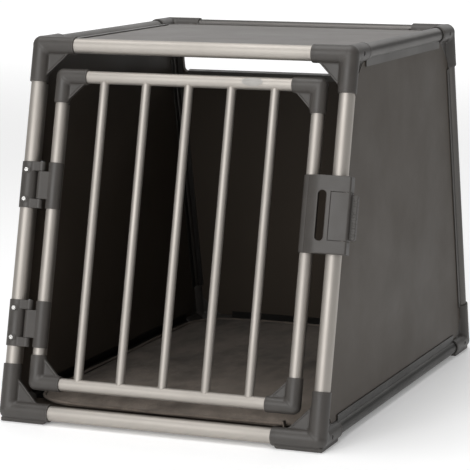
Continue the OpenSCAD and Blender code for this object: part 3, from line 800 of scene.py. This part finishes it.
def build_hinges():
    for word in ("lower", "upper"):
        node = word + "_hinge_bracket"
        low, high = front.span(node, 2)
        half = (high - low) / 2
        place = np.array([-half_w, 0, (low + high) / 2])

        def bracket(p):
            d = clamp(p, TUBE_R, -half, half)
            for z0, z1 in ((-half, -half + KNUCKLE_H), (half - KNUCKLE_H, half)):
                d = smin(d, knuckle(p, 1, TUBE_R, z0, z1), 1.2)
            for up in (-1, 1):
                q = p - np.array([0, 0, up * screw_rise])
                boss = rod(q, -Y, SCREW_SEAT / 2 + 2.6, TUBE_R + 0.5, TUBE_R + CLAMP_WALL, 0.6)
                d = smin(d, boss, 0.8)
                d = smax(d, -rod(q, -Y, 2.04, TUBE_R - 3, 40, 0.2), 0.2)
                recess = rod(q, -Y, SCREW_SEAT / 2 + 0.5, TUBE_R + CLAMP_WALL - 0.05, 40, 0.2)
                d = smax(d, -recess, 0.3)
            pin = np.hypot(p[:, 0] - (half_w - pin_x), p[:, 1] + PIN_OUT) - PIN_D / 2 - 0.02
            return smax(d, -pin, 0.4)

        reach = half_w - pin_x + KNUCKLE_D / 2 + 1
        v, q = surface(
            bracket,
            (-TUBE_R - 4, -TUBE_R - 5, -half - 1),
            (reach, TUBE_R + 4, half + 1),
            HINGE_STEP,
        )
        obj = new_mesh(
            "hinge_clamp_" + word,
            front.out(v + place),
            q,
            plastic,
            slope(bracket, v) @ front.axes,
        )
        attach(obj, "frame", "graphite_plastic", node)

        node = word + "_hinge_leaf"
        low, high = front.span(node, 2)
        half = (high - low) / 2
        place = np.array([-stile_x, 0, (low + high) / 2])
        inner = half - KNUCKLE_H - MOVE_GAP

        def leaf(p):
            d = smin(
                clamp(p, DOOR_R, -half, half), knuckle(p, -1, DOOR_R, -inner, inner), 1.2
            )
            pin = np.hypot(p[:, 0] + (half_w - pin_x), p[:, 1] + PIN_OUT) - PIN_D / 2 - 0.05
            return smax(d, -pin, 0.4)

        v, q = surface(
            leaf,
            (-reach, -DOOR_R - 5, -half - 1),
            (DOOR_R + 4, DOOR_R + 4, half + 1),
            HINGE_STEP,
        )
        obj = new_mesh(
            "hinge_leaf_" + word, front.out(v + place), q, plastic, slope(leaf, v) @ front.axes
        )
        attach(obj, "door", "graphite_plastic", node)


# ------------------------------------------------------------------ latch

latch_low, latch_high = front.span("latch_cover", 2)
latch_s = (latch_low + latch_high) / 2
slide_s = latch_s - SLIDE_DROP
latch_h = latch_high - latch_low
cover_right = front.span("latch_cover", 0)[1]
grip_right = front.span("latch_slide", 0)[1]
crown_x = stile_x + CROWN_REACH
window_x = half_w - WINDOW_SIDE
wrap_r = DOOR_R + LATCH_WALL
post_room = TUBE_R + POST_GAP
finger_x = crown_x + FINGER_OUT
bridge_x = BRIDGE_X + BRIDGE_W / 2


def cover_face(x, out, t):
    """Distance to the cover's outline, inset by t, with out measured in front of the door."""
    bend = np.hypot(x - crown_x, out - (CROWN - BEND_R)) - (BEND_R - t)
    flat = np.hypot(x - crown_x, out - (CROWN - FLAT_R)) - (FLAT_R - t)
    top = np.where(x < crown_x, bend, flat)
    return np.maximum(top, np.maximum(COVER_BACK - out, stile_x - wrap_r - x))


def latch_cover(p):
    x, out, z = p[:, 0], -p[:, 1], np.abs(p[:, 2] - latch_s)
    wrap = np.hypot(x - stile_x, out)
    outline = smax(cover_face(x, out, 0), x - cover_right, 2.6)
    outline = np.minimum(outline, wrap - wrap_r)
    d = smax(outline, z - latch_h / 2, 2.0)
    hollow = np.maximum(
        cover_face(x, np.maximum(out, COVER_BACK + 0.01), LATCH_WALL),
        x - cover_right + LATCH_WALL,
    )
    hollow = np.maximum(hollow, wrap_r - wrap)
    hollow = np.maximum(hollow, z - latch_h / 2 + CAP_T)
    d = smax(d, -hollow, 0.4)
    d = smax(d, DOOR_R + FIT - wrap, 0.4)
    lips = np.maximum(np.abs(x - stile_x) - LIP_OUT - MOVE_GAP, out)
    d = smax(d, -lips, 0.6)
    post = np.hypot(x - half_w, np.maximum(out, 0)) - post_room
    d = smax(d, -np.maximum(post, -x + half_w - post_room), 0.8)
    drop = np.abs(p[:, 2] - slide_s)
    rows = np.maximum(drop - (FINGER_H - FINGER_W) / 2, 0)
    finger = np.maximum(np.hypot(x - finger_x, rows) - FINGER_W / 2, post_room - 1 - out)
    d = smax(d, -finger, 2.2)
    window = np.maximum(window_x - x, drop - SLIDE_H / 2)
    return smax(d, -window, 0.5)


def flange_top(x, out, t):
    return np.hypot(x - (crown_x - TRAVEL), out - (CROWN - FLAT_R)) - (
        FLAT_R - LATCH_WALL - SLIDE_GAP - t
    )


def latch_slide(p):
    x, out = p[:, 0], -p[:, 1]
    z = np.abs(p[:, 2] - slide_s)
    plate_h = SLIDE_H - 2 * SLIDE_GAP
    plate = smax(cover_face(x, out, 0), x - cover_right, 2.6)
    hollow = np.maximum(cover_face(x, out, LATCH_WALL), x - cover_right + LATCH_WALL)
    plate = np.maximum(plate, window_x + SLIDE_GAP - x)
    plate = smax(plate, -hollow, 0.4)
    plate = smax(plate, z - plate_h / 2, 0.7)
    plate = np.maximum(plate, -out)
    plate = np.maximum(plate, post_room - np.hypot(x - half_w, out))
    start = window_x - FLANGE_SIDE
    length = cover_right - LATCH_WALL - TRAVEL - MOVE_GAP - start
    shelf = np.maximum(flange_top(x, out, 0), -flange_top(x, out, FLANGE_T))
    shelf = np.maximum(shelf, 5 - out)
    flange = np.maximum(shelf, np.maximum(start - x, x - start - length))
    flange = np.maximum(flange, z - plate_h / 2 - FLANGE_UP)
    d = np.minimum(plate, flange)
    bridge = np.maximum(cover_face(x, out, LATCH_WALL - 0.05), -flange_top(x, out, 0.05))
    bridge = np.maximum(bridge, np.abs(x - window_x - bridge_x) - BRIDGE_W / 2)
    bridge = np.maximum(bridge, z - SLIDE_H / 2 + 2)
    d = np.minimum(d, bridge)
    grip_h = plate_h - 2 * SLIDE_DROP
    along = np.maximum(z - (grip_h / 2 - GRIP_R), 0)
    ahead = np.maximum(x - (grip_right - GRIP_R), 0)
    grip = np.hypot(along, ahead) - GRIP_R
    grip = smax(grip, np.abs(out + GRIP_BACK - GRIP_T / 2) - GRIP_T / 2, 1.6)
    grip = np.maximum(grip, cover_right - 1 - x)
    ribs = 0.35 * np.cos((p[:, 2] - slide_s) * 2 * math.pi / 4.2)
    ribs = np.where((x > cover_right + 2.5) & (z < grip_h / 2 - 5), ribs, 0)
    d = smin(d, grip + np.maximum(ribs, 0), 1.2)
    nose_left = half_w + TUBE_R + STRIKE_T + 2 * MOVE_GAP
    nose = np.maximum(nose_left - x, x - cover_right + 0.3)
    nose = np.maximum(nose, np.abs(out + 1) - NOSE_Y + 1)
    nose = np.maximum(nose, z - NOSE_H / 2)
    return np.minimum(d, nose)


def build_latch():
    edge = (stile_x - wrap_r - 1, -CROWN - 1, latch_low - 1)
    far = (cover_right + 1, wrap_r + 1, latch_high + 1)
    v, q = surface(latch_cover, edge, far, COVER_STEP)
    obj = new_mesh(
        "latch_shell", front.out(v), q, plastic, slope(latch_cover, v) @ front.axes
    )
    attach(obj, "door", "graphite_plastic", "latch_cover")
    half = SLIDE_H / 2 + 4
    v, q = surface(
        latch_slide,
        (window_x - 5, -CROWN - 1, slide_s - half),
        (grip_right + 1, 6, slide_s + half),
        SLIDE_STEP,
    )
    obj = new_mesh(
        "latch_slider", front.out(v), q, plastic, slope(latch_slide, v) @ front.axes
    )
    attach(obj, "latch_slide", "graphite_plastic", "latch_slide")


# ------------------------------------------------------------------ small metal parts


def sweep(path, radius, sides=10, closed=True):
    """Points and quads of a round bar along a path; radius may vary along it."""
    path = np.asarray(path, float)
    n = len(path)
    r = np.broadcast_to(np.asarray(radius, float), (n,))
    if closed:
        tangent = np.roll(path, -1, 0) - np.roll(path, 1, 0)
    else:
        tangent = np.gradient(path, axis=0)
    tangent /= np.linalg.norm(tangent, axis=1)[:, None]
    side = np.cross(tangent[0], Z if abs(tangent[0][2]) < 0.8 else X)
    frames = []
    for t in tangent:
        side = side - t * (side @ t)
        side /= np.linalg.norm(side)
        frames.append((side, np.cross(t, side)))
    u = np.array([a for a, b in frames])
    w = np.array([b for a, b in frames])
    if closed:
        twist = math.atan2(u[0] @ w[-1], u[0] @ u[-1])
        angle = np.linspace(0, twist, n)[:, None]
        u, w = u * np.cos(angle) + w * np.sin(angle), w * np.cos(angle) - u * np.sin(angle)
    turn = np.arange(sides) * 2 * math.pi / sides
    ring = (
        u[:, None] * np.cos(turn)[None, :, None] + w[:, None] * np.sin(turn)[None, :, None]
    ) * r[:, None, None]
    v = (path[:, None] + ring).reshape(-1, 3)
    faces = []
    for i in range(n if closed else n - 1):
        j = (i + 1) % n
        for k in range(sides):
            m = (k + 1) % sides
            faces.append((i * sides + k, i * sides + m, j * sides + m, j * sides + k))
    if not closed:
        for start, order in ((0, -1), ((n - 1) * sides, 1)):
            for k in range(1, sides // 2):
                quad = [k - 1, k, sides - 1 - k, (sides - k) % sides]
                faces.append(tuple(start + c for c in quad[::order]))
    return v, np.array(faces)


def build_saddles():
    """Brazed beads where the bars meet the top rail, and collars where they enter the lower one."""
    turn = np.linspace(0, 2 * math.pi, 48, endpoint=False)
    for i in range(1, 6):
        x = front.middle(f"door_bar_{i}", 0)
        parts = []
        for s, way in ((door_high, -1), (door_low, 1)):
            px = x + (BAR_R + 0.15) * np.cos(turn)
            py = (BAR_R + 0.15) * np.sin(turn)
            ps = s + way * (np.sqrt(DOOR_R**2 - py**2) + 0.1)
            parts.append(sweep(np.stack([px, py, ps], 1), 0.75 if way < 0 else 0.5, 8))
        v, f = joined(parts)
        obj = new_mesh(f"bar_seat_{i}", front.out(v), f, tube_front)
        attach(obj, "door", "anodised_tube")


def build_badge():
    """Blank oval plate on the door's top rail."""
    nu = 40
    v, f = [], []
    rings = [(1.0, 10.02), (1.0, 10.42), (0.93, 10.5), (0.80, 10.42), (0.4, 10.42), (0.02, 10.42)]
    for share, r in rings:
        for k in range(nu):
            a = 2 * math.pi * k / nu
            along = BADGE_HALF_W * share * math.cos(a)
            up = BADGE_HALF_H * share * math.sin(a)
            roll = up / DOOR_R + math.radians(8)
            v.append((BADGE_X + along, -r * math.cos(roll), door_high + r * math.sin(roll)))
    for i in range(len(rings) - 1):
        for k in range(nu):
            m = (k + 1) % nu
            f.append((i * nu + k, i * nu + m, (i + 1) * nu + m, (i + 1) * nu + k))
    obj = new_mesh("door_badge_blank", front.out(v), f, enamel)
    attach(obj, "door", "graphite_plastic")


def build_spring():
    """The two return springs, wound."""
    low_x, high_x = stile_x + wrap_r + 3, window_x - 2.5
    top = CROWN - LATCH_WALL - SLIDE_GAP - (high_x + TRAVEL - crown_x) ** 2 / (2 * FLAT_R)
    y = -(top - FLANGE_T - SPRING_PEG_UP)
    side = latch_h / 2 - SPRING_FROM_END
    parts = []
    for up in (-1, 1):
        k = np.linspace(0, 1, SPRING_TURNS * 14)
        a = k * SPRING_TURNS * 2 * math.pi
        start, end = low_x + 2.4, high_x - 2.4
        coil = np.stack(
            [
                start + (end - start) * k,
                y + COIL_R * np.cos(a),
                latch_s + up * side + COIL_R * np.sin(a),
            ],
            1,
        )
        parts.append(sweep(coil, WIRE_R, 8, closed=False))
        for x in (low_x, high_x):
            t = np.linspace(0, 2 * math.pi, 28, endpoint=False)
            loop = np.stack(
                [
                    x + LOOP_R * np.cos(t),
                    np.full(28, y),
                    latch_s + up * side + LOOP_R * np.sin(t),
                ],
                1,
            )
            parts.append(sweep(loop, WIRE_R, 8))
    v, f = joined(parts)
    obj = new_mesh("latch_spring_coils", front.out(v), f, steel)
    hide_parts("latch_spring")
    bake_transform(obj)


# ------------------------------------------------------------------ mat

MAT_EDGE = 4.0
MAT_CORNER = 76.0
MAT_CAP = 3.0
CLOTH_STEPS = 20


def rounded_rectangle(x, y, hx, hy, r):
    qx, qy = np.abs(x) - hx + r, np.abs(y) - hy + r
    return np.hypot(np.maximum(qx, 0), np.maximum(qy, 0)) + np.minimum(np.maximum(qx, qy), 0) - r


def waves(x, y):
    """Soft folds left in the pile cloth, in millimetres."""
    big = np.sin(x / 61 + 1.3 * np.sin(y / 83)) * np.cos(y / 74 + 0.8 * np.sin(x / 57 + 2))
    fold = np.sin((x * 0.55 + y) / 17 + 1.6 * np.sin(x / 46))
    near = np.exp(-(((x + 120) / 110) ** 2 + ((y + 250) / 90) ** 2))
    far = np.exp(-(((x - 90) / 90) ** 2 + ((y + 60) / 120) ** 2))
    cross = np.sin((x - 0.4 * y) / 21 + 1.1 * np.sin(y / 39))
    return 1.3 * big + 1.7 * fold * near + 1.2 * cross * far


def swollen(obj, pinned):
    """The mesh's points after a short cloth simulation with air inside."""
    scene = bpy.context.scene
    group = obj.vertex_groups.new(name="held")
    group.add([int(i) for i in pinned], 1.0, "REPLACE")
    cloth = obj.modifiers.new("Cloth", "CLOTH")
    cloth.settings.quality = 4
    cloth.settings.mass = 0.3
    cloth.settings.tension_stiffness = 12
    cloth.settings.compression_stiffness = 12
    cloth.settings.bending_stiffness = 0.6
    cloth.settings.use_pressure = True
    cloth.settings.uniform_pressure_force = 4
    cloth.settings.effector_weights.gravity = 0
    cloth.settings.vertex_group_mass = "held"
    cloth.point_cache.frame_end = CLOTH_STEPS
    for step in range(1, CLOTH_STEPS + 1):
        scene.frame_set(step)
    evaluated = obj.evaluated_get(bpy.context.evaluated_depsgraph_get())
    flat = np.empty(len(obj.data.vertices) * 3, np.float32)
    evaluated.data.vertices.foreach_get("co", flat)
    obj.modifiers.remove(cloth)
    obj.vertex_groups.remove(group)
    scene.frame_set(1)
    return flat.reshape(-1, 3).astype(float) * 1000


def build_mat():
    low, high = (np.array(c) * 1000 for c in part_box("floor_mat"))
    centre = (low + high) / 2
    hx, hy = (high - low)[:2] / 2 - MAT_EDGE
    thick = high[2] - low[2] - MAT_CAP
    squeeze = np.array([1, 1, 0.5])

    def pad(p):
        q = p * squeeze
        d2 = rounded_rectangle(q[:, 0], q[:, 1], hx, hy, MAT_CORNER)
        return smax(d2, np.abs(q[:, 2]) - thick / 2, 4.0)

    edge = np.array([hx + 2, hy + 2, thick + 2])
    v, q = surface(pad, -edge, edge, MAT_STEP)
    v = v * squeeze + centre + (0, 0, -MAT_CAP / 2)
    obj = new_mesh("floor_mat_pad", v, q, plush)
    rest = v.copy()
    floor = np.argwhere(v[:, 2] < low[2] + 1.2).ravel()
    now = swollen(obj, floor)
    move = now - rest
    length = np.linalg.norm(move, axis=1)
    move *= (np.minimum(length, MAT_CAP) / np.maximum(length, 1e-9))[:, None]
    v = rest + move
    x, y = v[:, 0] - centre[0], v[:, 1] - centre[1]
    upper = np.clip((v[:, 2] - low[2] - 2) / 4, 0, 1)
    rim = rounded_rectangle(x, y, hx, hy, MAT_CORNER)
    v[:, 2] += upper * waves(x, y) * np.clip(-rim / 30, 0, 1)
    v[:, 2] -= upper * 1.6 * np.exp(-(((rim + 15) / 3.6) ** 2))
    v[:, 2] = np.maximum(v[:, 2], low[2] + 0.05)
    obj.data.vertices.foreach_set("co", (v * MM).astype(np.float32).ravel())
    obj.data.update()
    bpy.context.view_layer.objects.active = obj
    subdivide = obj.modifiers.new("Subdivision", "SUBSURF")
    subdivide.levels = subdivide.render_levels = 1
    attach(obj, "frame", "plush", "floor_mat")

    outline = []
    r = MAT_CORNER
    for cx, cy, first in (
        (hx - r, hy - r, 0),
        (r - hx, hy - r, 90),
        (r - hx, r - hy, 180),
        (hx - r, r - hy, 270),
    ):
        for k in range(19):
            a = math.radians(first + 5 * k)
            outline.append((cx + r * math.cos(a), cy + r * math.sin(a)))
    outline = np.array(outline)
    gap = np.roll(outline, -1, 0) - outline
    length = np.hypot(*gap.T)
    at = np.concatenate([[0], np.cumsum(length)])
    closed = np.vstack([outline, outline[:1]])
    k = np.linspace(0, at[-1], 420, endpoint=False)
    px, py = np.interp(k, at, closed[:, 0]), np.interp(k, at, closed[:, 1])
    height = low[2] + 5.2 + 0.5 * np.sin(k / 47) + 0.3 * np.sin(k / 19)
    path = np.stack([px + centre[0], py + centre[1], height], 1)
    pv, pf = sweep(path, 2.5 + 0.12 * np.sin(k / 5), 12)
    piping = new_mesh("mat_piping", pv, pf, piping_cloth)
    attach(piping, "frame", "plush")

    tag_y = -hy - 1.5
    profile = []
    for a in np.linspace(-math.pi / 2, math.pi / 2, 9):
        profile.append((tag_y - 6 - 1.3 * math.cos(a), 1.3 * math.sin(a)))
    profile += [(tag_y + 3, 1.3), (tag_y + 3, 0.6)]
    for a in np.linspace(math.pi / 2, -math.pi / 2, 9):
        profile.append((tag_y - 6 - 0.6 * math.cos(a), 0.6 * math.sin(a)))
    profile += [(tag_y + 3, -0.6), (tag_y + 3, -1.3)]
    profile = np.array(profile)
    n, rows = len(profile), 6
    tv, tf = [], []
    for i in range(rows + 1):
        z = low[2] + 1.0 + TAG_H * i / rows
        for y, x in profile:
            tv.append((TAG_X + x + 0.5 * math.sin(i * 0.9), y + centre[1], z))
    for i in range(rows):
        for j in range(n):
            m = (j + 1) % n
            tf.append((i * n + j, i * n + m, (i + 1) * n + m, (i + 1) * n + j))
    tag = new_mesh("mat_tag_blank", tv, tf, piping_cloth)
    attach(tag, "frame", "plush")


build_corners()
build_elbows()
build_hinges()
build_latch()
build_saddles()
build_badge()
build_spring()
build_mat()

# ------------------------------------------------------------------ studio


def build_studio():
    scene = bpy.context.scene
    white = Finish("pale_floor_paint", (0.92, 0.92, 0.92), 0.6)
    grain = white.noise(30, 3, 0.5)
    material = white.done(
        white.tinted(white.spread(grain, 0, 1), 0.006), None, white.bumped(grain, 0.02, 0.0005)
    )
    white.shader.inputs["Emission Color"].default_value = (1, 1, 1, 1)
    white.shader.inputs["Emission Strength"].default_value = 0.2
    size = 40000.0
    corners = [(-size, -size, 0), (size, -size, 0), (size, size, 0), (-size, size, 0)]
    floor = new_mesh("studio_floor", corners, [(0, 1, 2, 3)], material, smooth=False)

    world = bpy.data.worlds.new("studio_air")
    world.use_nodes = True
    world.node_tree.nodes["Background"].inputs["Color"].default_value = (1, 1, 1, 1)
    world.node_tree.nodes["Background"].inputs["Strength"].default_value = 0.30
    scene.world = world

    def lamp(name, place, target, wide, high, power):
        data = bpy.data.lights.new(name, "AREA")
        data.shape = "RECTANGLE"
        data.size, data.size_y = wide, high
        data.energy = power
        obj = bpy.data.objects.new(name, data)
        obj.location = place
        look = Vector(target) - Vector(place)
        obj.rotation_euler = look.to_track_quat("-Z", "Y").to_euler()
        scene.collection.objects.link(obj)

    lamp("key", (-0.4, -4.2, 1.9), (0, -0.2, 0.35), 3.0, 2.2, 92)
    lamp("top", (-0.3, -0.4, 3.4), (0, -0.1, 0.3), 2.4, 2.4, 62)
    lamp("backdrop", (-2.5, 9.0, 4.5), (-2.5, 9.0, 0), 14, 7, 440)

    camera = bpy.data.objects.new("camera", bpy.data.cameras.new("camera"))
    camera.location = (1.3122, -3.3786, 0.8486)
    camera.rotation_euler = (math.radians(90 - 9.31), 0, math.radians(21.79))
    camera.data.lens = 166.7
    camera.data.sensor_width = 36
    camera.data.clip_end = 200
    scene.collection.objects.link(camera)
    scene.camera = camera
    scene.view_settings.view_transform = "Standard"


build_studio()
